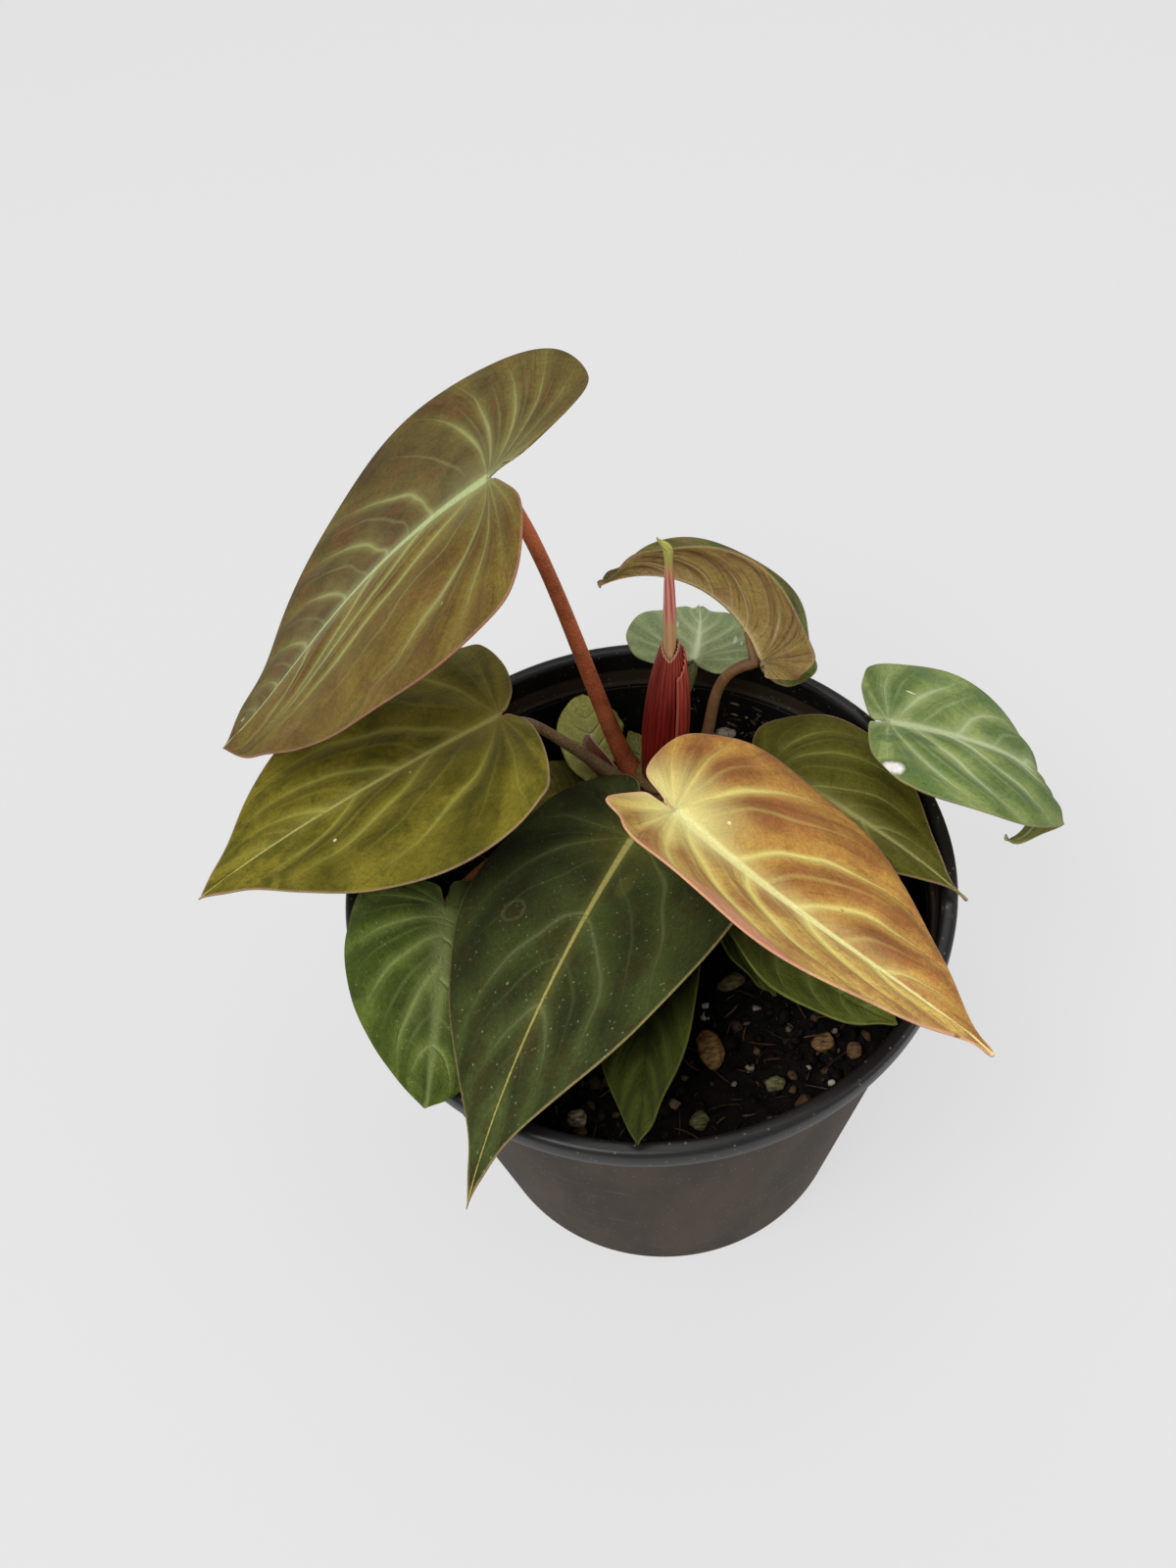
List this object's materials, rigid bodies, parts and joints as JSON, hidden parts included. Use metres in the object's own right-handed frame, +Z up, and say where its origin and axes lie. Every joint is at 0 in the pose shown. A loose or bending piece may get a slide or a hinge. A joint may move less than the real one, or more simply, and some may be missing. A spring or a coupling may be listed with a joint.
{
  "type": "potted philodendron",
  "caption": "Potted philodendron: heart-shaped velvety leaves on slender petioles round a short stem, with a red sheathed new leaf, in a round black nursery pot filled with soil.",
  "frame": {"origin": "centre of the pot's flat underside", "axes": "+Z up, out of the pot's mouth; -Y towards the side that the picture is taken from; +X to that viewer's right"},
  "size_m": [0.2188, 0.1789, 0.2149],
  "materials": {
    "pot_plastic": "dusty matte outside, semi-gloss black inside",
    "potting_mix": "rough, damp, with brown fibres",
    "stem_tissue": "matte, with scars of old leaves",
    "leaf_olive_brown": "velvety olive brown with pale green veins",
    "leaf_yellow_olive": "velvety yellow olive with a tan margin",
    "leaf_green": "satin mid green with a pale midrib",
    "leaf_dark_green": "velvety, very dark green, yellow green midrib",
    "leaf_amber": "satin amber with bright yellow veins and a pink margin",
    "leaf_deep_olive": "velvety deep olive with a tan margin",
    "leaf_grey_green": "matte grey green with pale veins",
    "leaf_bronze": "satin bronze underside, dark green upper face",
    "leaf_pale_green": "satin pale yellow green",
    "petiole_red": "finely pebbled red brown",
    "petiole_olive": "finely pebbled olive brown",
    "petiole_brown": "finely pebbled orange brown",
    "petiole_green": "finely pebbled green",
    "sheath_red": "satin deep red with dark ribs",
    "new_leaf_pink": "satin pink red with a yellow green tip",
    "stub_brown": "dry, ribbed red brown",
    "bark": "rough tan",
    "perlite": "rough, pale"
  },
  "bodies": {
    "root": {"pot": "pot_plastic", "soil": "potting_mix", "stem": "stem_tissue", "leaf_tall_blade": "leaf_olive_brown", "leaf_tall_petiole": "petiole_red", "leaf_left_blade": "leaf_yellow_olive", "leaf_left_petiole": "petiole_olive", "leaf_rim_blade": "leaf_green", "leaf_rim_petiole": "petiole_brown", "leaf_front_blade": "leaf_dark_green", "leaf_front_petiole": "petiole_green", "leaf_amber_blade": "leaf_amber", "leaf_amber_petiole": "petiole_red", "leaf_olive_blade": "leaf_deep_olive", "leaf_olive_petiole": "petiole_olive", "leaf_right_blade": "leaf_grey_green", "leaf_right_petiole": "petiole_green", "leaf_back_blade": "leaf_grey_green", "leaf_back_petiole": "petiole_green", "leaf_curled_blade": "leaf_bronze", "leaf_curled_petiole": "petiole_olive", "leaf_juvenile_blade": "leaf_pale_green", "leaf_juvenile_petiole": "petiole_green", "leaf_low_back_blade": "leaf_pale_green", "leaf_low_back_petiole": "petiole_green", "leaf_tiny_back_blade": "leaf_pale_green", "leaf_tiny_back_petiole": "petiole_green", "leaf_shaded_blade": "leaf_dark_green", "leaf_shaded_petiole": "petiole_green", "leaf_small_front_blade": "leaf_green", "leaf_small_front_petiole": "petiole_green", "leaf_small_dark_blade": "leaf_dark_green", "leaf_small_dark_petiole": "petiole_green", "leaf_small_right_blade": "leaf_green", "leaf_small_right_petiole": "petiole_green", "cataphyll_inner": "sheath_red", "cataphyll_outer": "sheath_red", "new_leaf_spike": "new_leaf_pink", "old_leaf_stub": "stub_brown", "bark_chunk": "bark", "bark_chip_right": "bark", "bark_chip_edge": "bark", "bark_chip_middle": "bark", "bark_chip_front": "bark", "bark_chip_near": "bark", "perlite_bit_left": "perlite", "perlite_bit_back": "perlite"}
  },
  "joints": []
}
